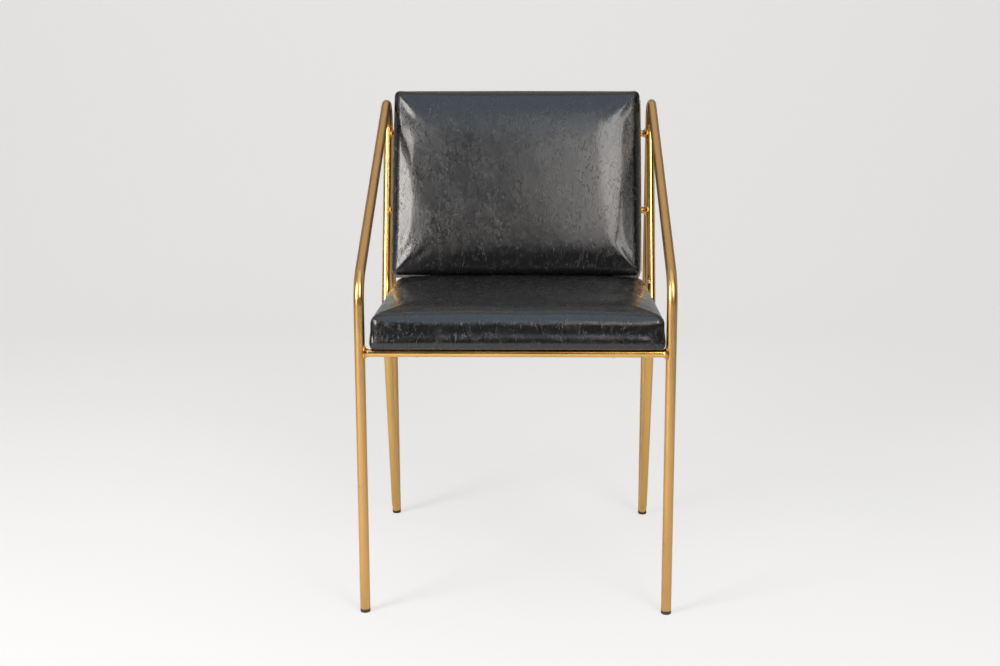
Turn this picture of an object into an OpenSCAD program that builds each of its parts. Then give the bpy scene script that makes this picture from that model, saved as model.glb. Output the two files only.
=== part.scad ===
// Armchair with a bent tube frame, a screwed-on seat pad and a screwed-on back pad.
// Millimetres. X runs across the chair, +Y to its back, +Z up, and the floor is Z = 0.
// Inside the modules Y = 0 is the line of the front legs, and placed() centres the chair.

/* [Tubes and rails] */
// Outside diameter of the leg, arm and back tubes
tube_d = 16; // [13:0.5:20]
// Wall of the leg, arm and back tubes
tube_wall = 1.2; // [0.8:0.1:2]
// Outside diameter of the seat and back rails
rail_d = 12; // [10:0.5:13]
// Wall of the seat and back rails
rail_wall = 1.2; // [0.8:0.1:1.8]
// Gap between a tube's coped end and the tube it is welded to
cope_gap = 0.2; // [0.1:0.05:0.4]

/* [Side loops] */
// Distance between the centres of the two side loops
side_spacing = 474; // [430:1:560]
// Height where the lines of the front leg and the arm meet
arm_corner_z = 524; // [505:1:560]
// Rise of the arm towards the back, in degrees
arm_rise = 30.2; // [27:0.1:34]
// Bend radius between the front leg and the arm
front_bend_r = 55; // [35:1:80]
// Distance from the front leg back to the corner of the top bend
top_corner_run = 474; // [466:1:490]
// Bend radius at the top of the loop
top_bend_r = 27; // [22:1:32]
// Distance from the front leg back to the rear foot
rear_foot_run = 502; // [495:1:530]

/* [Back uprights] */
// Distance from the front leg back to the kink of the upright
kink_run = 379; // [365:1:395]
// Bend radius of the kink
kink_bend_r = 60; // [40:1:100]
// Height where the upright meets the rear tube at the top
upright_top_z = 740; // [730:1:742]
// Height where the upright touches the rear tube at the foot
brace_touch_z = 42; // [30:1:80]
// Height of the lower end of the upright
brace_end_z = 20; // [12:1:28]

/* [Seat and back rails] */
// Height of the seat rails
rail_z = 417; // [400:1:430]
// Distance from the middle to each seat bearer
bearer_x = 150; // [110:1:175]
// Lower back rail, measured up the upright from the kink
low_back_rail = 183; // [160:1:210]
// Upper back rail, measured up the upright from the kink
high_back_rail = 324; // [290:1:326]

/* [Welds] */
// Leg length of the fillet round a rail's end
fillet_leg = 5.5; // [3:0.5:7]
// Leg length of the small fillet round a seat bearer's end
bearer_fillet = 2; // [1:0.5:4]
// Half width of the bead where the upright's top runs into the rear tube
bead_r = 1.8; // [1.2:0.1:2.5]
// Gap between a weld and the tubes under it
weld_gap = 0.1; // [0.05:0.05:0.3]
// Length of the tapered weld under the end of the upright
toe_len = 13; // [6:0.5:16]

/* [Foot caps] */
// Height of the cap that shows under the tube
cap_h = 6; // [4:0.5:10]
// Length of the plug inside the tube
plug_len = 14; // [8:1:25]
// Gap between the plug's body and the inside of the tube
plug_gap = 0.6; // [0.3:0.1:1]
// Gap between the plug's ribs and the inside of the tube
rib_gap = 0.1; // [0.05:0.05:0.3]
// Number of ribs round the plug
ribs = 3; // [2:1:4]
// Rounding of the cap's lower edge
cap_round = 1.6; // [0.5:0.1:3]

/* [Seat pad] */
// Gap between the seat pad and each front leg
seat_side_gap = 1.2; // [0.5:0.1:4]
// Depth of the seat pad
seat_depth = 398; // [380:1:410]
// How far the seat pad stands ahead of the front legs' centre line
seat_front = 13; // [8:1:20]
// Height of the seat pad at its edges
seat_edge_h = 49; // [40:1:60]
// Extra height of the seat pad at its middle
seat_crown = 15; // [5:1:20]
// Distance from the seat pad's front to the front screws
seat_screw_front = 70; // [55:1:120]
// Distance from the seat pad's back to the rear screws
seat_screw_back = 80; // [55:1:120]

/* [Back pad] */
// Gap between the back pad and each upright
back_side_gap = 3; // [2:0.5:16]
// Height of the back pad along its slope
back_h = 330; // [300:1:345]
// Distance from the kink up to the back pad's lower edge
back_start = 59; // [50:1:75]
// Thickness of the back pad at its edges
back_edge_h = 50; // [35:1:55]
// Extra thickness of the back pad at its middle
back_crown = 12; // [4:1:18]
// Distance from the middle to each screw of the back pad
back_screw_x = 130; // [80:1:170]

/* [Upholstery] */
// Thickness of the leather cover
leather = 1.2; // [0.8:0.1:2]
// Thickness of the plywood boards
board_t = 12; // [9:1:15]
// Width of the leather turned under each board
turn_under = 30; // [18:1:40]
// Rounding of the pads' upper edges
edge_round = 12; // [6:1:18]
// Rounding of the pads' lower edges
lower_round = 5; // [2:0.5:8]
// Rounding of the pads' four corners
corner_round = 6; // [3:0.5:15]
// Gap between pad layers, and between a pad and its rails
layer_gap = 0.3; // [0.2:0.05:0.5]

/* [Screws] */
// Diameter of the screw shank
screw_d = 6; // [5:0.5:7]
// Diameter of the screw head
screw_head_d = 11; // [9:0.5:12]
// Height of the screw head
screw_head_h = 3.4; // [2.5:0.1:5]
// Width across the flats of the key socket
socket_w = 4; // [3:0.5:5]
// Clearance round the shank in the rails
screw_clear = 0.4; // [0.2:0.05:0.8]
// Outside diameter of the tee nut's barrel
barrel_d = 7.8; // [7.5:0.1:9]
// Diameter of the tee nut's flange
flange_d = 19; // [15:1:24]
// Thickness of the tee nut's flange
flange_t = 1.4; // [1:0.1:2]

/* [Hidden] */

$fn = 48;
over = 1;           // how far a cutting shape runs past what it cuts
bend_lap = 0.1;     // degrees that a bend runs on inside the straights beside it
bend_thin = 0.02;   // how much the wall thins in a bend at its outer and its inner face
far = 2000;         // larger than the chair
arc_steps = 5;      // straight pieces in a rounded edge
crown_steps = 10;   // straight pieces in a crowned face
bead_fn = 96;       // sides of the small beads and of the tubes that cut them
bead_turn = 110;    // degrees that the bead goes round the front of the tube
fillet_root = 0.4;  // height where a fillet starts inside its main tube, as a share of the tube's radius
fillet_heel = [0.7, 0.75];  // the fillet's outer heel, as shares of its leg and of the main tube's radius
toe_end = 0.6;      // radius at the end of the tapered weld, as a share of the tube's
rib_slope = 0.35;   // length of a plug rib's slope, as a share of the rib spacing
rib_land = 0.1;     // length of a plug rib's flat, as a share of the rib spacing
plug_lead = 1;      // chamfer at the plug's end
thread_gap = 0.1;   // gap between the screw's shank and the tee nut's bore
hole_margin = 1;    // how far the holes in a pad's closing sheet clear the barrels
nut_inset = 2;      // distance from the barrel's end to the board's lower face
socket_sides = 6;   // sides of the key socket

tube_r = tube_d / 2;
bore_r = tube_r - tube_wall;
rail_r = rail_d / 2;
rail_bore_r = rail_r - rail_wall;
side_x = side_spacing / 2;

gold = [0.78, 0.58, 0.26];
black_leather = [0.07, 0.07, 0.08];
black_plastic = [0.10, 0.09, 0.08];
plywood = [0.80, 0.66, 0.45];
foam = [0.93, 0.88, 0.70];
steel = [0.72, 0.72, 0.70];
felt = [0.14, 0.14, 0.15];

// Corners of the side loop in its own plane, as [distance back, height]
top_corner = [top_corner_run, arm_corner_z + top_corner_run * tan(arm_rise)];
rear_foot = [rear_foot_run, 0];
rear_lean = (rear_foot.x - top_corner.x) / top_corner.y;
function rear_run(z) = rear_foot.x - rear_lean * z;
rear_tilt = atan(rear_lean);
cap_line = [rear_run(cap_h), cap_h];
loop_turns = [90 - arm_rise, 90 + arm_rise - rear_tilt];
loop_bends = [front_bend_r, top_bend_r];
front_run = bend_run(loop_turns[0], front_bend_r);
top_run = bend_run(loop_turns[1], top_bend_r);
loop_straights = [arm_corner_z - cap_h - front_run,
                  norm(top_corner - [0, arm_corner_z]) - front_run - top_run,
                  norm(cap_line - top_corner) - top_run];

// Corners of the kinked upright
kink = [kink_run, rail_z];
upright_top = [rear_run(upright_top_z), upright_top_z];
brace_touch = [rear_run(brace_touch_z) - tube_d, brace_touch_z];
brace_slope = (brace_touch.x - kink.x) / (kink.y - brace_touch.y);
brace_end = [kink.x + brace_slope * (kink.y - brace_end_z), brace_end_z];
recline = atan2(upright_top.x - kink.x, upright_top.y - kink.y);
brace_tilt = atan(brace_slope);
kink_turn = recline + brace_tilt;
upright_straights = [norm(kink - brace_end), norm(upright_top - kink)]
                    - bend_run(kink_turn, kink_bend_r) * [1, 1];

// The chair's depth, from the seat pad's front to the rear foot, is centred on Y = 0
chair_mid = (rear_foot_run + tube_r - seat_front) / 2;

// Pads, measured from the plane where they rest on their rails
seat_w = side_spacing - tube_d - 2 * seat_side_gap;
seat_size = [seat_w, seat_depth];
back_w = side_spacing - tube_d - 2 * back_side_gap;
back_size = [back_w, back_h];
seat_mid_y = seat_depth / 2 - seat_front;
rest_plane = rail_r + layer_gap;
board_bottom = leather + layer_gap;
board_top = board_bottom + board_t;
seat_screws_at = [for (x = [-bearer_x, bearer_x], y = [seat_screw_front - seat_depth / 2,
                                                       seat_depth / 2 - seat_screw_back]) [x, y]];
back_mid = back_start + back_h / 2;
back_screws_at = [for (x = [-back_screw_x, back_screw_x], s = [low_back_rail, high_back_rail])
                  [x, s - back_mid]];
screw_r = screw_d / 2;
rail_hole_r = screw_r + screw_clear;
barrel_r = barrel_d / 2;
nut_bore_r = screw_r + thread_gap;
cover_hole_r = barrel_r + hole_margin;

// Length that a bend of radius r takes from each straight beside it
function bend_run(turn, r) = r * tan(turn / 2);

// Moves the chair so that its depth is centred on the origin
module placed() translate([0, -chair_mid, 0]) children();

// Section of a tube, or of a solid bar where there is no bore
module section(r, bore) difference() {
    circle(r = r);
    if (bore > 0) circle(r = bore);
}

// Straight tube or bar in the Y-Z plane from a to b, longer by extra at each end
module bar(a, b, r, bore = 0, extra = 0) {
    translate([0, a.x, a.y]) rotate([atan2(b.y - a.y, b.x - a.x) - 90, 0, 0])
        translate([0, 0, -extra]) linear_extrude(norm(b - a) + 2 * extra) section(r, bore);
}

// Moves to the end of a bend that turns +Z towards +Y
module after_bend(turn, bend_r) {
    translate([0, bend_r, 0]) rotate([-turn, 0, 0]) translate([0, -bend_r, 0]) children();
}

// Bend that starts along +Z. Its wall is a little thinner than a straight's at both faces, and its ends
// run on inside the walls of the straights.
module bend(turn, bend_r, r, bore) after_bend(-bend_lap, bend_r)
    mirror([0, 1, 0]) translate([0, -bend_r, 0]) rotate([90, 0, 90])
        rotate_extrude(angle = turn + 2 * bend_lap) translate([bend_r, 0])
            section(r - bend_thin, bore > 0 ? bore + bend_thin : 0);

// Tube or bar that starts along +Z, with a bend between each straight and the next. The section of a
// straight is turned so that its first point, like a bend's, is on the outside of the bend.
module bent_bar(straights, turns, bends, r, bore = 0, i = 0) {
    linear_extrude(straights[i]) rotate(-90) section(r, bore);
    if (i < len(turns)) translate([0, 0, straights[i]]) {
        bend(turns[i], bends[i], r, bore);
        after_bend(turns[i], bends[i]) bent_bar(straights, turns, bends, r, bore, i + 1);
    }
}

// Straight rear tube of the side loop, solid, as a shape to cut with
module rear_tube_solid(r) bar(rear_foot, top_corner, r, extra = tube_d);

// Side loop of one bent tube: front leg, arm and rear tube
module side_loop() translate([0, 0, cap_h]) bent_bar(loop_straights, loop_turns, loop_bends, tube_r, bore_r);

// Kinked upright from its lower end to its top, before its ends are coped
module upright_bar(r, bore = 0) translate([0, brace_end.x, brace_end.y]) rotate([brace_tilt, 0, 0])
    bent_bar(upright_straights, [kink_turn], [kink_bend_r], r, bore);

// Kinked upright whose two ends are coped to the front of the rear tube
module back_upright() difference() {
    upright_bar(tube_r, bore_r);
    rear_tube_solid(tube_r + cope_gap);
}

// One copy at each side of the chair
module both_sides() for (x = [-side_x, side_x]) translate([x, 0, 0]) children();

// Solid tubes that a cross rail's ends are coped to
module leg_solids(r) both_sides() bar([0, 0], [0, arm_corner_z], r);
module upright_solids(r) both_sides() upright_bar(r);
module rear_tube_solids(r) both_sides() rear_tube_solid(r);

// Round bar across the chair at a point of the side plane
module cross_bar(at, r, len = side_spacing) {
    translate([0, at.x, at.y]) rotate([0, 90, 0]) cylinder(h = len, r = r, center = true);
}

// Frame of the back: Z runs up the upright from the kink, +Y to the back
module in_back_frame() translate([0, kink.x, kink.y]) rotate([-recline, 0, 0]) children();

// Frames of the two pads: X across, Y along the pad, Z out of the board towards the sitter
module in_seat_pad() translate([0, seat_mid_y, rail_z + rest_plane]) children();
module in_back_pad() in_back_frame() translate([0, -rest_plane, back_mid]) rotate([90, 0, 0]) children();

// Screw holes through a pad's rails, which lie just behind the pad's back face
module rail_holes(places) {
    for (p = places) translate([p.x, p.y, -rest_plane - rail_d]) cylinder(h = 2 * rail_d, r = rail_hole_r);
}

front_rail_at = [0, rail_z];
function back_rail_at(s) = kink + s * [sin(recline), cos(recline)];

module front_seat_rail() difference() {
    cross_bar(front_rail_at, rail_r);
    cross_bar(front_rail_at, rail_bore_r, side_spacing + over);
    leg_solids(tube_r + cope_gap);
}

module rear_seat_rail() difference() {
    cross_bar(kink, rail_r);
    cross_bar(kink, rail_bore_r, side_spacing + over);
    upright_solids(tube_r + cope_gap);
}

// Bearer from the front rail to the rear rail, drilled for the seat screws
module seat_bearer(x) difference() {
    translate([x, 0, 0]) bar(front_rail_at, kink, rail_r, rail_bore_r);
    cross_bar(front_rail_at, rail_r + cope_gap);
    cross_bar(kink, rail_r + cope_gap);
    in_seat_pad() rail_holes(seat_screws_at);
}

// Back rail between the uprights, drilled for the back screws
module back_rail(s) difference() {
    cross_bar(back_rail_at(s), rail_r);
    cross_bar(back_rail_at(s), rail_bore_r, side_spacing + over);
    upright_solids(tube_r + cope_gap);
    rear_tube_solids(tube_r + cope_gap);
    in_back_pad() rail_holes(back_screws_at);
}

// Section of a concave fillet that stands round a branch of radius r on a main tube of radius big
function fillet_section(r, big, leg) = concat(
    [[r, big * fillet_root], [r, big + leg]],
    [for (i = [1:arc_steps]) let (a = 180 + 90 * i / arc_steps)
        [r + leg + leg * cos(a), big + leg + leg * sin(a)]],
    [[r + leg * fillet_heel.x, big * fillet_heel.y]]);

// Fillet ring round a branch along +Z whose centre line starts on a main tube along X or Y
module fillet_ring(r, big, leg) rotate_extrude() polygon(fillet_section(r + weld_gap, big, leg));

// Weld round a cross rail where it meets the side tubes of radius tube_r
module cross_rail_weld(at) {
    for (side = [-1, 1]) translate([side * side_x, at.x, at.y]) rotate([0, -side * 90, 0])
        fillet_ring(rail_r, tube_r, fillet_leg);
}

module front_rail_welds() difference() {
    cross_rail_weld(front_rail_at);
    leg_solids(tube_r + weld_gap);
}

module rear_rail_welds() difference() {
    cross_rail_weld(kink);
    upright_solids(tube_r + weld_gap);
}

module back_rail_welds() difference() {
    for (s = [low_back_rail, high_back_rail]) cross_rail_weld(back_rail_at(s));
    upright_solids(tube_r + weld_gap);
    rear_tube_solids(tube_r + weld_gap);
    both_sides() top_bead(bead_r + weld_gap);
}

// Welds round both ends of the seat bearers, flush with the rails' tops so that the seat pad lies flat
module bearer_welds() difference() {
    for (x = [-bearer_x, bearer_x]) {
        translate([x, 0, rail_z]) rotate([-90, 0, 0]) fillet_ring(rail_r, rail_r, bearer_fillet);
        translate([x, kink.x, rail_z]) rotate([90, 0, 0]) fillet_ring(rail_r, rail_r, bearer_fillet);
    }
    cross_bar(front_rail_at, rail_r + weld_gap);
    cross_bar(kink, rail_r + weld_gap);
    translate([-side_x, -tube_d, rail_z + rail_r]) cube([side_spacing, rear_foot_run, tube_d]);
}

// Bead across the front of the upright where its top runs into the rear tube
module top_bead(r) translate([0, upright_top.x, upright_top.y])
    rotate([(rear_tilt - recline) / 2, 0, 0]) rotate([0, 0, 270 - bead_turn / 2])
        rotate_extrude(angle = bead_turn) translate([tube_r, 0]) circle(r = r);

module upright_top_welds($fn = bead_fn) both_sides() difference() {
    top_bead(bead_r);
    bar(kink, upright_top, tube_r + weld_gap, extra = tube_d);
    rear_tube_solid(tube_r + weld_gap);
}

// Tapered weld that closes the upright's lower end against the rear tube
module upright_foot_welds() both_sides() difference() {
    translate([0, brace_end.x, brace_end.y]) rotate([180 + brace_tilt, 0, 0])
        translate([0, 0, weld_gap]) cylinder(h = toe_len, r1 = tube_r, r2 = tube_r * toe_end);
    rear_tube_solid(tube_r + weld_gap);
}

// Profile of a foot cap, from the floor up: rounded head, then a plug with sharp ribs
function cap_profile(head) = concat(
    [[0, -over], [tube_r - cap_round, -over], [tube_r - cap_round, 0]],
    [for (i = [1:arc_steps]) let (a = -90 + 90 * i / arc_steps)
        [tube_r - cap_round + cap_round * cos(a), cap_round + cap_round * sin(a)]],
    [[tube_r, head], [bore_r - plug_gap, head]],
    [for (i = [1:ribs], p = [[-plug_gap, -rib_slope], [-rib_gap, -rib_land], [-rib_gap, 0], [-plug_gap, 0]])
        [bore_r + p.x, head + plug_len * (i / (ribs + 1)) + p.y * plug_len / (ribs + 1)]],
    [[bore_r - plug_gap, head + plug_len - plug_lead], [bore_r - plug_gap - plug_lead, head + plug_len],
     [0, head + plug_len]]);

// Foot cap pushed into the end of a tube that leans by tilt, cut level with the floor
module foot_cap(x, y, tilt) difference() {
    translate([x, y, 0]) rotate([tilt, 0, 0]) rotate_extrude() polygon(cap_profile(cap_h / cos(tilt)));
    translate([x, y, -tube_d]) cube([2 * tube_d, 2 * tube_d, 2 * tube_d], center = true);
}

// Outline of a rectangle with rounded corners
module rounded_rect(size, r) {
    polygon([for (q = [0:3], i = [0:arc_steps]) let (
        a = 90 * q + 90 * i / arc_steps,
        cx = (q == 0 || q == 3 ? 1 : -1) * (size.x / 2 - r),
        cy = (q < 2 ? 1 : -1) * (size.y / 2 - r)) [cx + r * cos(a), cy + r * sin(a)]]);
}

// Cross-section of a pad: flat below, rounded edges, crowned above
module crowned_section(w, edge_h, crown) {
    half = w / 2;
    function arc(cx, cy, r, from) = [for (i = [0:arc_steps]) let (a = from + 90 * i / arc_steps)
                                     [cx + r * cos(a), cy + r * sin(a)]];
    polygon(concat(
        arc(-half + lower_round, lower_round, lower_round, 180),
        arc(half - lower_round, lower_round, lower_round, 270),
        arc(half - edge_round, edge_h - edge_round, edge_round, 0),
        [for (i = [1:crown_steps - 1]) let (u = 1 - 2 * i / crown_steps)
            [u * (half - edge_round), edge_h + crown * (1 - u * u)]],
        arc(-half + edge_round, edge_h - edge_round, edge_round, 90)));
}

// Closed form of a pad of a given plan size, edge height and crown
module pad(size, edge_h, crown) intersection() {
    linear_extrude(edge_h + crown) rounded_rect(size, corner_round);
    rotate([90, 0, 0]) linear_extrude(size.y, center = true) crowned_section(size.x, edge_h, crown);
    rotate([90, 0, 90]) linear_extrude(size.x, center = true) crowned_section(size.y, edge_h, crown);
}

// Space inside a pad's leather cover
module pad_inside(size, edge_h, crown, gap) {
    skin = leather + gap;
    translate([0, 0, skin]) pad(size - 2 * [skin, skin], edge_h - 2 * skin, crown);
}

// Leather cover, open below inside its turned-under edge
module pad_cover(size, edge_h, crown) difference() {
    pad(size, edge_h, crown);
    pad_inside(size, edge_h, crown, 0);
    translate([0, 0, -over]) linear_extrude(leather + 2 * over)
        rounded_rect(size - 2 * [turn_under, turn_under], corner_round);
}

// Plywood board of a pad, drilled for the tee nuts
module pad_board(size, places) difference() {
    translate([0, 0, board_bottom]) linear_extrude(board_t)
        rounded_rect(size - 2 * (board_bottom + lower_round) * [1, 1], corner_round);
    for (p = places) translate([p.x, p.y, 0]) cylinder(h = board_top + over, r = barrel_r + layer_gap);
}

// Foam block above the board, with pockets for the tee nuts' flanges
module pad_foam(size, edge_h, crown, places) difference() {
    pad_inside(size, edge_h, crown, layer_gap);
    translate([0, 0, board_top + layer_gap - far / 2]) cube([far, far, far], center = true);
    for (p = places) translate([p.x, p.y, 0])
        cylinder(h = board_top + flange_t + 2 * layer_gap, r = flange_d / 2 + layer_gap);
}

// Sheet that closes the pad's underside inside the turned-under leather
module pad_closing(size, places) difference() {
    linear_extrude(leather) rounded_rect(size - 2 * (turn_under + layer_gap) * [1, 1], corner_round);
    for (p = places) translate([p.x, p.y, -over]) cylinder(h = leather + 2 * over, r = cover_hole_r);
}

// Tee nut: a flange on the board's upper face and a threaded barrel down into it
module tee_nuts(places) for (p = places) translate([p.x, p.y, 0]) difference() {
    union() {
        translate([0, 0, board_top + layer_gap / 2]) cylinder(h = flange_t, r = flange_d / 2);
        translate([0, 0, board_bottom + nut_inset])
            cylinder(h = board_t - nut_inset + layer_gap, r = barrel_r);
    }
    cylinder(h = far, r = nut_bore_r);
}

// Screws with a domed head and a key socket, put in through the rails from behind
module pad_screws(places) for (p = places) translate([p.x, p.y, -rest_plane - rail_r]) difference() {
    union() {
        cylinder(h = rail_d + board_top, r = screw_r);
        intersection() {
            translate([0, 0, -screw_head_h]) cylinder(h = screw_head_h, r = screw_head_d / 2);
            translate([0, 0, screw_head_d - screw_head_h]) sphere(r = screw_head_d);
        }
    }
    translate([0, 0, -screw_head_h - over]) cylinder(h = screw_head_h, d = socket_w / cos(180 / socket_sides),
                                                      $fn = socket_sides);
}

module seat_cover() in_seat_pad() pad_cover(seat_size, seat_edge_h, seat_crown);
module seat_board() in_seat_pad() pad_board(seat_size, seat_screws_at);
module seat_foam() in_seat_pad() pad_foam(seat_size, seat_edge_h, seat_crown, seat_screws_at);
module seat_dust_cover() in_seat_pad() pad_closing(seat_size, seat_screws_at);
module seat_screws() in_seat_pad() pad_screws(seat_screws_at);
module seat_tee_nuts() in_seat_pad() tee_nuts(seat_screws_at);

module back_cover() in_back_pad() pad_cover(back_size, back_edge_h, back_crown);
module back_board() in_back_pad() pad_board(back_size, back_screws_at);
module back_foam() in_back_pad() pad_foam(back_size, back_edge_h, back_crown, back_screws_at);
module back_rear_panel() in_back_pad() pad_closing(back_size, back_screws_at);
module back_screws() in_back_pad() pad_screws(back_screws_at);
module back_tee_nuts() in_back_pad() tee_nuts(back_screws_at);

placed() color(gold) translate([-side_x, 0, 0]) side_loop();  // left_side_loop
placed() color(gold) translate([side_x, 0, 0]) side_loop();  // right_side_loop
placed() color(gold) translate([-side_x, 0, 0]) back_upright();  // left_back_upright
placed() color(gold) translate([side_x, 0, 0]) back_upright();  // right_back_upright
placed() color(gold) front_seat_rail();
placed() color(gold) rear_seat_rail();
placed() color(gold) seat_bearer(-bearer_x);  // left_seat_bearer
placed() color(gold) seat_bearer(bearer_x);  // right_seat_bearer
placed() color(gold) back_rail(low_back_rail);  // lower_back_rail
placed() color(gold) back_rail(high_back_rail);  // upper_back_rail
placed() color(gold) front_rail_welds();
placed() color(gold) rear_rail_welds();
placed() color(gold) bearer_welds();
placed() color(gold) back_rail_welds();
placed() color(gold) upright_top_welds();
placed() color(gold) upright_foot_welds();
placed() color(black_plastic) foot_cap(-side_x, 0, 0);  // front_left_foot_cap
placed() color(black_plastic) foot_cap(side_x, 0, 0);  // front_right_foot_cap
placed() color(black_plastic) foot_cap(-side_x, rear_foot_run, rear_tilt);  // rear_left_foot_cap
placed() color(black_plastic) foot_cap(side_x, rear_foot_run, rear_tilt);  // rear_right_foot_cap
placed() color(plywood) seat_board();
placed() color(foam) seat_foam();
placed() color(black_leather) seat_cover();
placed() color(felt) seat_dust_cover();
placed() color(steel) seat_screws();
placed() color(steel) seat_tee_nuts();
placed() color(plywood) back_board();
placed() color(foam) back_foam();
placed() color(black_leather) back_cover();
placed() color(black_leather) back_rear_panel();
placed() color(steel) back_screws();
placed() color(steel) back_tee_nuts();
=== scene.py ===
"""Looks of a tube-framed armchair: gold lacquered tubes and pads in crackled black leather.

Everything is in metres, in the frame of the CAD: +X to the right, +Y to the back, +Z up.
"""

import math

import bpy
import numpy as np
from mathutils import Matrix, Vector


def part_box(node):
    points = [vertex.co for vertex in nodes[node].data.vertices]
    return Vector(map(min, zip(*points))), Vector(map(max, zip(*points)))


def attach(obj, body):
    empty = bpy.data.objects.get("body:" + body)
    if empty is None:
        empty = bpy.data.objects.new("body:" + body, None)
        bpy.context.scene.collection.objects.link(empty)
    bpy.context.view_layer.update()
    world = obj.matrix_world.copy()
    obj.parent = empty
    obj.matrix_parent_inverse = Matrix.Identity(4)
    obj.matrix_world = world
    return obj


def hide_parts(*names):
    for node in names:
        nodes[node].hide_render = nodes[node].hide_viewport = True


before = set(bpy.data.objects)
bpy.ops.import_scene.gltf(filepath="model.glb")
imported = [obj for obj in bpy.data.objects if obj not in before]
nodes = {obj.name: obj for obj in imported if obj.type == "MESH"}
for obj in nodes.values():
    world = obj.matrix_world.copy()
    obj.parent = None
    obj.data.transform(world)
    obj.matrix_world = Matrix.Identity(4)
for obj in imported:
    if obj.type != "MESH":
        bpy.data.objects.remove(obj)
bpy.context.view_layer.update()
scene = bpy.context.scene


# ---------------------------------------------------------------- camera

def camera_at_the_photo():
    """Pinhole camera whose place, pitch, yaw and roll, in radians, were fitted to the tubes' edges in the
    photograph."""
    eye = (0.0317, -2.3194, 0.8403)
    pitch, yaw, roll = 0.18697, 0.026321, -0.003055
    turn_z = np.array([[math.cos(yaw), math.sin(yaw), 0],
                       [-math.sin(yaw), math.cos(yaw), 0],
                       [0, 0, 1]])
    look = np.array([[1, 0, 0],
                     [0, -math.sin(pitch), -math.cos(pitch)],
                     [0, math.cos(pitch), -math.sin(pitch)]])
    turn = np.array([[math.cos(roll), -math.sin(roll), 0],
                     [math.sin(roll), math.cos(roll), 0],
                     [0, 0, 1]])
    right, down, ahead = turn @ look @ turn_z
    lens = bpy.data.cameras.new("camera")
    lens.lens, lens.sensor_width = 50.0, 36.0
    lens.clip_start, lens.clip_end = 0.05, 60.0
    camera = bpy.data.objects.new("camera", lens)
    place = np.eye(4)
    place[:3, 0], place[:3, 1], place[:3, 2] = right, -down, -ahead
    place[:3, 3] = eye
    camera.matrix_world = Matrix(place.tolist())
    scene.collection.objects.link(camera)
    scene.camera = camera


# ---------------------------------------------------------------- shader maths

class Value:
    """A socket of a node tree. Its operators add Math nodes."""

    def __init__(self, paint, socket):
        self.paint, self.socket = paint, socket

    def maths(self, operation, a, b, clamp=False):
        return self.paint.node("Math", {"operation": operation, "use_clamp": clamp}, {0: a, 1: b})

    def __add__(self, other): return self.maths("ADD", self, other)
    def __radd__(self, other): return self.maths("ADD", other, self)
    def __sub__(self, other): return self.maths("SUBTRACT", self, other)
    def __rsub__(self, other): return self.maths("SUBTRACT", other, self)
    def __mul__(self, other): return self.maths("MULTIPLY", self, other)
    def __rmul__(self, other): return self.maths("MULTIPLY", other, self)

    def clamped(self): return self.maths("ADD", self, 0.0, clamp=True)

    def step(self, low, high):
        """Smooth step: 0 below low, 1 above high."""
        return self.paint.node("MapRange", {"interpolation_type": "SMOOTHSTEP"},
                               {"Value": self, "From Min": low, "From Max": high})


class Paint:
    """The nodes of a material or of the world. node() is the one way in which nodes are added."""

    def __init__(self, owner):
        """owner is the world, or the name of a new material."""
        self.owner = bpy.data.materials.new(owner) if isinstance(owner, str) else owner
        self.owner.use_nodes = True
        self.tree = self.owner.node_tree
        self.tree.nodes.clear()

    def node(self, kind, settings=None, inputs=None, out=0):
        made = self.tree.nodes.new("ShaderNode" + kind)
        for key, value in (settings or {}).items():
            setattr(made, key, value)
        for key, value in (inputs or {}).items():
            if isinstance(value, Value):
                self.tree.links.new(value.socket, made.inputs[key])
            else:
                made.inputs[key].default_value = value
        return Value(self, made.outputs[out]) if len(made.outputs) else None

    def place(self, scale=(1, 1, 1)):
        """Object coordinates, scaled."""
        here = self.node("TexCoord", out="Object")
        return self.node("Mapping", None, {"Vector": here, "Scale": scale})

    def noise(self, scale, detail=2.0, rough=0.5, vector=None):
        return self.node("TexNoise", None, {"Vector": vector or self.place(), "Scale": scale,
                                            "Detail": detail, "Roughness": rough})

    def cracks(self, scale, vector, width):
        """Thin lines, 1 on the borders of Voronoi cells and 0 inside them."""
        edge = self.node("TexVoronoi", {"feature": "DISTANCE_TO_EDGE"}, {"Vector": vector, "Scale": scale})
        return 1 - edge.step(0.0, width)

    def mix(self, factor, a, b):
        """Colour a where factor is 0 and colour b where it is 1."""
        sockets = {0: factor, 6: a, 7: b}
        return self.node("Mix", {"data_type": "RGBA"}, sockets, out=2)

    def warped(self, vector, scale, amount):
        """vector moved about by a coloured noise of the given scale, by up to half of amount."""
        push = self.node("TexNoise", None, {"Vector": vector, "Scale": scale, "Detail": 2.0}, out="Color")
        push = self.node("VectorMath", {"operation": "SUBTRACT"}, {0: push, 1: (0.5, 0.5, 0.5)})
        push = self.node("VectorMath", {"operation": "SCALE"}, {0: push, "Scale": amount})
        return self.node("VectorMath", {"operation": "ADD"}, {0: vector, 1: push})

    def finish(self, height=None, depth=0.001, **shader):
        """Ends a material in a Principled shader. height, if given, is a bump of depth metres."""
        inputs = {key.replace("_", " "): value for key, value in shader.items()}
        if height is not None:
            inputs["Normal"] = self.node("Bump", None, {"Height": height, "Distance": depth, "Strength": 1.0})
        surface = self.node("BsdfPrincipled", None, inputs)
        self.node("OutputMaterial", None, {"Surface": surface})
        return self.owner


def colour(*parts):
    return (*parts, 1.0)


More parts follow.
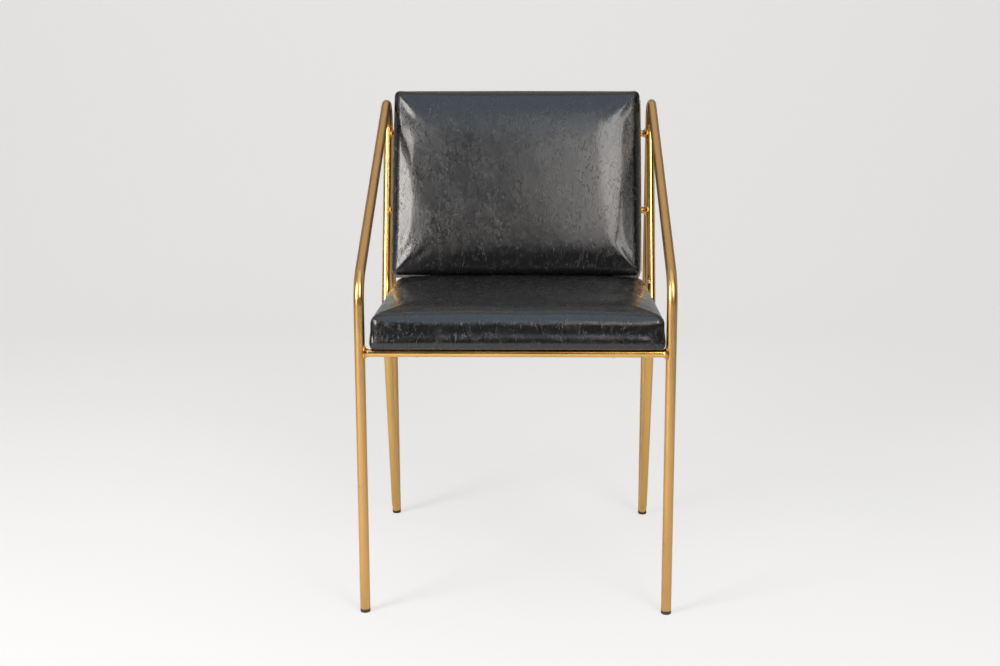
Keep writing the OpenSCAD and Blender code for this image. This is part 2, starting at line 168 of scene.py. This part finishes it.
def gold_lacquer(name, base, low_rough, high_rough, coat):
    """Metallic lacquer: fine flakes in the colour, a faint orange peel, and cloudy gloss."""
    p = Paint(name)
    flakes = p.noise(2600.0, 1.0).step(0.35, 0.7)
    clouds = p.noise(14.0, 3.0).step(0.3, 0.7)
    dark = tuple(0.80 * c for c in base)
    shade = p.mix(flakes * 0.45 + clouds * 0.35, colour(*dark), colour(*base))
    peel = p.noise(420.0, 2.0)
    return p.finish(height=peel, depth=0.00003, Base_Color=shade, Metallic=1.0,
                    Roughness=low_rough + (high_rough - low_rough) * clouds,
                    Coat_Weight=coat, Coat_Roughness=0.08)


def black_leather(name):
    """Oil-waxed leather: a soft brushed grain that runs up and down and leans over in places, short
    hair-fine creases along it, and a pebbled surface. The creases are where a stretched noise passes its
    middle value."""
    p = Paint(name)
    here = p.place()
    bent = p.warped(p.warped(here, 7.0, 0.050), 40.0, 0.010)
    along = p.node("Mapping", None, {"Vector": bent, "Scale": (1.0, 0.50, 0.17)})
    brushed = p.noise(620.0, 3.0, 0.62, along)
    lines = p.noise(205.0, 2.0, 0.5, along)
    off_middle = p.node("Math", {"operation": "ABSOLUTE"}, {0: lines - 0.5})
    broken = p.noise(90.0, 2.0, 0.5, bent).step(0.44, 0.58)
    creases = (1 - off_middle.step(0.0, 0.026)) * broken
    pebbles = p.noise(1100.0, 3.0, 0.6)
    swell = p.noise(26.0, 3.0, 0.5, bent)
    height = brushed * 0.75 + pebbles * 0.05 + swell * 1.2 - creases * 0.60
    shade = p.mix((creases * 0.8 + brushed.step(0.55, 0.85) * 0.5).clamped(),
                  colour(0.0030, 0.0030, 0.0035), colour(0.026, 0.025, 0.024))
    return p.finish(height=height, depth=0.00055, Base_Color=shade,
                    Roughness=0.23 + 0.08 * swell + 0.10 * creases, IOR=1.48,
                    Coat_Weight=0.30, Coat_Roughness=0.10)


def cap_plastic(name):
    p = Paint(name)
    grain = p.noise(1500.0, 2.0)
    shade = p.mix(grain, colour(0.018, 0.014, 0.012), colour(0.045, 0.036, 0.030))
    return p.finish(height=grain, depth=0.00008, Base_Color=shade, Roughness=0.48)


def birch_plywood(name):
    """Plies in bands across the board's thickness, with long grain along X."""
    p = Paint(name)
    grain = p.noise(60.0, 5.0, 0.6, p.place((0.12, 2.5, 2.5)))
    plies = p.noise(900.0, 1.0, 0.5, p.place((0.02, 0.02, 1.0)))
    shade = p.mix((grain * 0.7 + plies * 0.4).clamped(),
                  colour(0.42, 0.27, 0.14), colour(0.66, 0.49, 0.30))
    return p.finish(height=grain, depth=0.0002, Base_Color=shade, Roughness=0.65)


def seat_foam_finish(name):
    p = Paint(name)
    cells = p.cracks(900.0, p.place(), 0.4)
    shade = p.mix(cells, colour(0.70, 0.62, 0.36), colour(0.52, 0.44, 0.24))
    return p.finish(height=1 - cells, depth=0.0005, Base_Color=shade, Roughness=0.95)


def dust_cloth(name):
    """Non-woven cloth: matt fibres and small pressed dots in rows."""
    p = Paint(name)
    fibres = p.noise(800.0, 4.0, 0.7)
    dots = p.node("TexVoronoi", {"feature": "F1"}, {"Vector": p.place(), "Scale": 420.0, "Randomness": 0.0})
    press = dots.step(0.25, 0.5)
    shade = p.mix(fibres, colour(0.012, 0.012, 0.013), colour(0.035, 0.035, 0.037))
    return p.finish(height=fibres * 0.5 + press * 0.5, depth=0.0003, Base_Color=shade, Roughness=0.9)


def zinc_steel(name):
    p = Paint(name)
    spangle = p.noise(900.0, 2.0)
    shade = p.mix(spangle, colour(0.46, 0.46, 0.45), colour(0.66, 0.66, 0.64))
    return p.finish(height=spangle, depth=0.00003, Base_Color=shade, Metallic=1.0,
                    Roughness=0.26 + 0.16 * spangle)


# ---------------------------------------------------------------- pads

MM = 0.001
CROWD, WALL_CROWD = 1.7, 0.8    # how closely the net's lines crowd towards the edges, flat and up the wall
HEM_W, HEM_T = 26 * MM, 1.3 * MM    # leather turned under the board: its width and its thickness
BLEND = 26 * MM                 # height over the held skin at which the simulation counts in full
SIM_SHARE = 0.4                 # share of the simulated movement that is used
SIM_FRAMES = 20


def spaced(half, count, crowd):
    """count + 1 places from -half to half, closer together near both ends:
    x = half tanh(crowd t) / tanh(crowd), with t from -1 to 1."""
    t = np.linspace(-1, 1, count + 1)
    return half * np.tanh(crowd * t) / np.tanh(crowd)


def closed_box_grid(half_x, half_y, top, cells):
    """The skin of a box as one closed net of quads: a top and a bottom sheet on the same (x, y) net, and a
    side wall whose rows join the two sheets' rims. Returns points, with z from 0 to top, and faces."""
    nx, ny, rows = cells
    x, y = np.meshgrid(spaced(half_x, nx, CROWD), spaced(half_y, ny, CROWD), indexing="ij")
    sheet = (nx + 1) * (ny + 1)
    label = np.arange(sheet).reshape(nx + 1, ny + 1)
    rim = np.concatenate([label[:-1, 0], label[-1, :-1], label[:0:-1, -1], label[0, :0:-1]])
    rim_xy = np.stack([x.ravel()[rim], y.ravel()[rim]], 1)
    heights = top * (0.5 + 0.5 * spaced(1.0, rows, WALL_CROWD))[1:-1]
    wall = np.concatenate([np.column_stack([rim_xy, np.full(len(rim), h)]) for h in heights])
    flat = np.stack([x.ravel(), y.ravel()], 1)
    bottom, lid = (np.column_stack([flat, np.full(sheet, height)]) for height in (0.0, top))
    points = np.concatenate([bottom, lid, wall])
    quads = np.stack([label[:-1, :-1], label[1:, :-1], label[1:, 1:], label[:-1, 1:]], -1).reshape(-1, 4)
    wall_rows = 2 * sheet + np.arange(len(rim) * (rows - 1)).reshape(rows - 1, -1)
    ring = np.concatenate([[rim], wall_rows, [rim + sheet]])
    after = np.roll(ring, -1, axis=1)
    sides = np.stack([ring[:-1], after[:-1], after[1:], ring[1:]], -1).reshape(-1, 4)
    return points, np.concatenate([quads[:, ::-1], quads + sheet, sides])


def softened(points, half_x, half_y, top, edge, lower, tip):
    """Rounds the box's edges: each point goes to the ball of radius r round the nearest point of the inner
    box. r runs from lower at the bottom to edge at the top, and falls to tip at the four top corners,
    where |x|^10 |y|^10 is near 1."""
    mid = np.array([0, 0, top / 2])
    half = np.array([half_x, half_y, top / 2])
    p = points - mid
    share = np.clip(points[:, 2] / top, 0, 1)
    corner = (np.abs(p[:, 0]) / half_x) ** 10 * (np.abs(p[:, 1]) / half_y) ** 10
    r = lower + (edge - lower) * share
    r = (r + (tip - r) * corner * share)[:, None]
    inner = np.clip(p, -(half - r), half - r)
    away = p - inner
    length = np.linalg.norm(away, axis=1, keepdims=True)
    return inner + r * away / np.maximum(length, 1e-9) + mid


def crowned(points, half_x, half_y, top, crown, n, roll, reach):
    """Raises the upper side: z grows by crown (1 - |x|^n) (1 - |y|^n) and rolls off at the edges by
    roll (a + b - a b), where a and b are exp(-distance to an edge / reach). Both count by (z / top)^2."""
    u = np.clip(np.abs(points[:, 0]) / half_x, 0, 1)
    v = np.clip(np.abs(points[:, 1]) / half_y, 0, 1)
    a, b = np.exp(-half_x * (1 - u) / reach), np.exp(-half_y * (1 - v) / reach)
    near_top = np.clip(points[:, 2] / top, 0, 1) ** 2
    lift = (crown * (1 - u ** n) * (1 - v ** n) - roll * (a + b - a * b)) * near_top
    return points + np.column_stack([np.zeros_like(lift), np.zeros_like(lift), lift])


def barrelled(points, half_x, half_y, top, out_x, out_y, out_low_y, bow):
    """Rounds the side walls, most at a fifth of their height and least at the corners. With s = z / top,
    x moves out by out_x sin(pi s^0.45) |x|^14 (1 - |y|^bow), and y by the same with out_y, or with
    out_low_y where y < 0."""
    x, y, z = points.T
    u, v = np.clip(np.abs(x) / half_x, 0, 1), np.clip(np.abs(y) / half_y, 0, 1)
    belly = np.sin(math.pi * np.clip(z / top, 0, 1) ** 0.45)
    step_x = np.sign(x) * out_x * belly * u ** 14 * (1 - v ** bow)
    step_y = np.sign(y) * np.where(y > 0, out_y, out_low_y) * belly * v ** 14 * (1 - u ** bow)
    return np.column_stack([x + step_x, y + step_y, z])


def mesh_of(name, points, faces):
    mesh = bpy.data.meshes.new(name)
    mesh.from_pydata(points.tolist(), [], faces.tolist())
    mesh.polygons.foreach_set("use_smooth", np.ones(len(faces), bool))
    mesh.update()
    return mesh


def blown_up(points, faces, held, pressure, most):
    """Cloth simulation of the stretched leather: pressure pushes it out, held points stay, and none moves
    further than most."""
    mesh = mesh_of("pad_skin", points, faces)
    skin = bpy.data.objects.new("pad_skin", mesh)
    scene.collection.objects.link(skin)
    group = skin.vertex_groups.new(name="held")
    group.add(np.flatnonzero(held).tolist(), 1.0, "REPLACE")
    cloth = skin.modifiers.new("stretch", "CLOTH")
    s = cloth.settings
    s.quality, s.mass = 6, 0.25
    s.tension_stiffness = s.compression_stiffness = 40.0
    s.shear_stiffness, s.bending_stiffness = 12.0, 1.5
    s.use_pressure, s.uniform_pressure_force = True, pressure
    s.effector_weights.gravity = 0.0
    s.vertex_group_mass = "held"
    cloth.point_cache.frame_start, cloth.point_cache.frame_end = 1, SIM_FRAMES
    for f in range(1, SIM_FRAMES + 1):
        scene.frame_set(f)
    result = skin.evaluated_get(bpy.context.evaluated_depsgraph_get())
    moved = np.zeros(len(points) * 3)
    result.data.vertices.foreach_get("co", moved)
    moved = moved.reshape(-1, 3) - points
    bpy.data.objects.remove(skin)
    scene.frame_set(1)
    length = np.linalg.norm(moved, axis=1, keepdims=True)
    return points + moved * np.minimum(1, most / np.maximum(length, 1e-9))


def corner_folds(points, half_x, half_y, top, depth, ripple):
    """Mitred corners: a groove down the wall beside each corner, where the leather is folded over itself,
    and shallow pleats on the face that spread from the corner's tip like the spokes of a fan."""
    wall_reach, groove_w, from_corner, lean = 5 * MM, 1.9 * MM, 3 * MM, 0.10
    fade, over_top = 8 * MM, 4 * MM
    pleat_reach, bare_tip, spokes, twist = 20 * MM, 9 * MM, 17, 60
    x, y, z = points.T
    out_x, out_y = half_x - np.abs(x), half_y - np.abs(y)
    wall = np.exp(-(out_y / wall_reach) ** 2) * np.clip(z / fade, 0, 1)
    line = out_x - (from_corner + lean * (top - z))
    groove = depth * np.exp(-(line / groove_w) ** 2) * wall * np.clip((top + over_top - z) / fade, 0, 1)
    far = np.hypot(out_x, out_y)
    angle = np.arctan2(out_y, out_x)
    pleats = ripple * np.sin(spokes * angle + twist * far) * np.exp(-far / pleat_reach)
    pleats *= np.clip(far / bare_tip, 0, 1)
    pleats *= np.clip((z - 0.75 * top) / (0.2 * top), 0, 1)
    return np.column_stack([x, y - np.sign(y) * groove, z + pleats])


def hollow_under(points, half_x, half_y, inset, depth):
    """Lifts the underside inside the turned-under leather, so that the closing sheet lies in it."""
    x, y, z = points.T
    inside = (np.abs(x) < half_x - inset) & (np.abs(y) < half_y - inset) & (z < 2 * MM)
    points = points.copy()
    points[inside, 2] = depth
    return points


def waves(points, amount):
    """A slow unevenness of the stuffing: three crossed sine waves, on the upper side only."""
    x, y, z = points.T
    lift = np.sin(21 * x + 1.3) * np.sin(17 * y + 0.4)
    lift = lift + 0.6 * np.sin(43 * x + 11 * y) + 0.5 * np.sin(37 * y - 19 * x + 2)
    return np.column_stack([x, y, z + amount * lift * np.clip(z / (40 * MM), 0, 1) ** 3])


def cushion(name, size, edge_h, crown, to_chair, replaced, shape):
    """One upholstered pad, made flat on its board and then carried to its place on the chair."""
    half_x, half_y, top = size[0] / 2, size[1] / 2, edge_h
    points, faces = closed_box_grid(half_x, half_y, top, shape["cells"])
    points = softened(points, half_x, half_y, top, shape["edge"], shape["lower"], shape["tip"])
    points = crowned(points, half_x, half_y, top, crown, shape["power"], shape["roll"], shape["reach"])
    held = points[:, 2] < shape["held"]
    moved = blown_up(points, faces, held, shape["pressure"], shape["most"]) - points
    free = np.clip((points[:, 2] - shape["held"]) / BLEND, 0, 1)
    points = points + SIM_SHARE * moved * (free * free * (3 - 2 * free))[:, None]
    points = barrelled(points, half_x, half_y, top, *shape["barrel"])
    points = waves(points, shape["waves"])
    points = corner_folds(points, half_x, half_y, top, shape["fold"], shape["pleat"])
    points = hollow_under(points, half_x, half_y, HEM_W, HEM_T)
    place = np.array(to_chair)
    points = points @ place[:3, :3].T + place[:3, 3]
    pad = bpy.data.objects.new(name, mesh_of(name, points, faces))
    scene.collection.objects.link(pad)
    pad.data.materials.append(leather)
    smooth = pad.modifiers.new("smooth", "SUBSURF")
    smooth.levels = smooth.render_levels = 1
    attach(pad, "root")
    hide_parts(*replaced)
    return pad


def pad_frame(mid, x_axis, y_axis, z_axis):
    """Matrix that carries a thing's own axes to the chair's frame, with its origin at mid. A pad's X runs
    across, its Y along the pad and its Z out of its board."""
    place = np.eye(4)
    place[:3, 0], place[:3, 1], place[:3, 2], place[:3, 3] = x_axis, y_axis, z_axis, mid
    return place


# ---------------------------------------------------------------- stage and light

def studio():
    """A pale floor that curves up into a pale wall, as a strip of points carried across the set."""
    front, rear, bend, wall_top, half_w = -3.2, 2.2, 1.2, 4.5, 5.0
    t = np.linspace(0, 1, 25)
    curve = np.stack([rear + bend * np.sin(t * math.pi / 2), bend * (1 - np.cos(t * math.pi / 2))], 1)
    line = np.concatenate([[[front, 0.0]], curve, [[rear + bend, wall_top]]])
    left = np.column_stack([np.full(len(line), -half_w), line])
    right = np.column_stack([np.full(len(line), half_w), line])
    count = len(line)
    a = np.arange(count - 1)
    faces = np.stack([a, a + count, a + count + 1, a + 1], 1)
    mesh = mesh_of("studio_sweep", np.concatenate([left, right]), faces)
    sweep = bpy.data.objects.new("studio_sweep", mesh)
    scene.collection.objects.link(sweep)
    p = Paint("studio_paper")
    height = p.node("SeparateXYZ", None, {0: p.place()}, out=2)
    shade = p.mix(height.step(0.0, 1.0), colour(0.78, 0.785, 0.80), colour(0.80, 0.79, 0.78))
    paper = p.node("BsdfDiffuse", None, {"Color": shade})
    glow = p.node("Emission", None, {"Color": colour(0.90, 0.885, 0.87), "Strength": 1.0})
    seen = p.node("LightPath", None, None, out="Is Camera Ray")
    mixed = p.node("MixShader", None, {0: seen * 0.72, 1: paper, 2: glow})
    p.node("OutputMaterial", None, {"Surface": mixed})
    sweep.data.materials.append(p.owner)


def lamp(name, place, aim, size, power, tint):
    """A soft rectangular lamp at place that faces aim, which isn't straight below it."""
    light = bpy.data.lights.new(name, "AREA")
    light.shape, light.size, light.size_y = "RECTANGLE", *size
    light.energy, light.color = power, tint
    holder = bpy.data.objects.new(name, light)
    back = np.array(place, float) - np.array(aim, float)
    back /= np.linalg.norm(back)
    side = np.cross((0, 0, 1), back)
    side /= np.linalg.norm(side)
    holder.matrix_world = Matrix(pad_frame(place, side, np.cross(back, side), back).tolist())
    scene.collection.objects.link(holder)


def surroundings():
    """The room round the set: pale at the sides and above, dark behind the camera."""
    scene.world = bpy.data.worlds.new("room")
    p = Paint(scene.world)
    way = p.node("TexCoord", out="Generated")
    back = p.node("SeparateXYZ", None, {0: way}, out=1)
    up = p.node("SeparateXYZ", None, {0: way}, out=2)
    light = 0.02 + 0.74 * back.step(-0.35, 0.55) + 0.16 * up.step(0.5, 0.95)
    shade = p.mix(light.clamped(), colour(0.0, 0.0, 0.0), colour(0.92, 0.91, 0.90))
    seen = p.node("LightPath", None, None, out="Is Camera Ray")
    shown = p.mix(seen, shade, colour(0.80, 0.79, 0.78))
    sky = p.node("Background", None, {"Color": shown, "Strength": 1.0})
    p.node("OutputWorld", None, {"Surface": sky})


# ---------------------------------------------------------------- the armchair

camera_at_the_photo()
surroundings()
studio()
lamp("right_softbox", (1.1, -2.25, 1.95), (0.0, 0.15, 0.62), (0.95, 1.45), 44.0, (1.0, 0.95, 0.91))
lamp("right_fill", (0.6, -2.55, 1.95), (0.0, 0.15, 0.62), (1.0, 1.2), 5.0, (1.0, 0.95, 0.91))
lamp("left_softbox", (-1.85, -1.75, 1.4), (-0.15, 0.1, 0.6), (0.9, 1.5), 80.0, (1.0, 0.96, 0.92))
lamp("top_light", (0.0, -1.0, 2.75), (0.0, 0.1, 0.5), (2.4, 2.2), 24.0, (0.66, 0.85, 1.0))

satin_gold = gold_lacquer("satin_gold_lacquer", (0.66, 0.38, 0.13), 0.27, 0.34, 0.15)
bright_gold = gold_lacquer("bright_gold_lacquer", (0.78, 0.46, 0.13), 0.20, 0.27, 0.3)
leather = black_leather("oil_waxed_black_leather")
plastic = cap_plastic("black_cap_plastic")
FINISHES = {
    satin_gold: ["left_side_loop", "right_side_loop"],
    bright_gold: ["left_back_upright", "right_back_upright", "front_seat_rail", "rear_seat_rail",
                  "left_seat_bearer", "right_seat_bearer", "lower_back_rail", "upper_back_rail",
                  "front_rail_welds", "rear_rail_welds", "bearer_welds", "back_rail_welds",
                  "upright_top_welds", "upright_foot_welds"],
    plastic: ["front_left_foot_cap", "front_right_foot_cap", "rear_left_foot_cap", "rear_right_foot_cap"],
    birch_plywood("birch_plywood"): ["seat_board", "back_board"],
    seat_foam_finish("pad_foam"): ["seat_foam", "back_foam"],
    dust_cloth("dust_cloth"): ["seat_dust_cover"],
    zinc_steel("zinc_plated_steel"): ["seat_screws", "seat_tee_nuts", "back_screws", "back_tee_nuts"],
    leather: ["seat_cover", "back_cover", "back_rear_panel"],
}
for finish, names in FINISHES.items():
    for each in names:
        mesh = nodes[each].data
        mesh.materials.clear()
        mesh.materials.append(finish)
        mesh.polygons.foreach_set("material_index", np.zeros(len(mesh.polygons), np.int32))

# Both pads sit where the photograph shows them, a little off the middle. Their boards stay in the middle,
# so the back board's edge shows at the pad's right side.
UPHOLSTERY = {"held": 5 * MM, "pressure": 4.0, "waves": 0.35 * MM, "fold": 0.9 * MM, "pleat": 0.12 * MM,
              "fill": 0.85}
SEAT_TO_RIGHT = 3 * MM
seat_low, seat_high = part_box("seat_cover")
seat_mid = ((seat_low.x + seat_high.x) / 2 + SEAT_TO_RIGHT, (seat_low.y + seat_high.y) / 2, seat_low.z)
cushion("seat_cushion", (450 * MM, 397 * MM), 56 * MM, 9 * MM,
        pad_frame(seat_mid, (1, 0, 0), (0, 1, 0), (0, 0, 1)), ["seat_cover", "seat_foam"],
        {"power": 5, "roll": 3 * MM, "reach": 13 * MM, "barrel": (0.6 * MM, 1 * MM, 4.5 * MM, 10),
         "cells": (92, 80, 14), "edge": 17 * MM, "lower": 8 * MM, "tip": 13 * MM, "most": 5 * MM,
         **UPHOLSTERY})

# The upright's kink and top on its centre line, in mm: runs go back from the front legs' plane
KINK_RUN, KINK_Z = 379.0, 417.0
TOP_RUN, TOP_Z = 476.10, 740.0
CHAIR_MID = 248.5               # run of the chair's middle, in mm
PAD_START, PAD_HALF = 59, 165.5     # from the kink to the back pad, and half of the pad's height, in mm
RAIL_TO_PAD = 6.3 * MM          # from the uprights' centre line to the pad: a rail's radius and a gap
BACK_TO_LEFT = 3.5 * MM
askew = math.radians(0.15)
recline = math.atan2(TOP_RUN - KINK_RUN, TOP_Z - KINK_Z)
up_back = np.array([0.0, math.sin(recline), math.cos(recline)])
out_back = np.array([0.0, -math.cos(recline), math.sin(recline)])
across_back = np.array([1.0, 0.0, 0.0])
kink = np.array([0.0, (KINK_RUN - CHAIR_MID) * MM, KINK_Z * MM])
back_mid = (kink + (PAD_START + PAD_HALF) * MM * up_back + RAIL_TO_PAD * out_back
            - BACK_TO_LEFT * across_back)
back_place = pad_frame(back_mid, math.cos(askew) * across_back - math.sin(askew) * up_back,
                       math.sin(askew) * across_back + math.cos(askew) * up_back, out_back)
cushion("back_cushion", (441 * MM, 335 * MM), 51 * MM, 10 * MM, back_place, ["back_cover", "back_foam"],
        {"power": 3, "roll": 5 * MM, "reach": 20 * MM, "barrel": (2.5 * MM, 2 * MM, 1 * MM, 2.5),
         "cells": (90, 70, 14), "edge": 14 * MM, "lower": 6 * MM, "tip": 10 * MM, "most": 4 * MM,
         **UPHOLSTERY})

scene.view_settings.view_transform = "Standard"
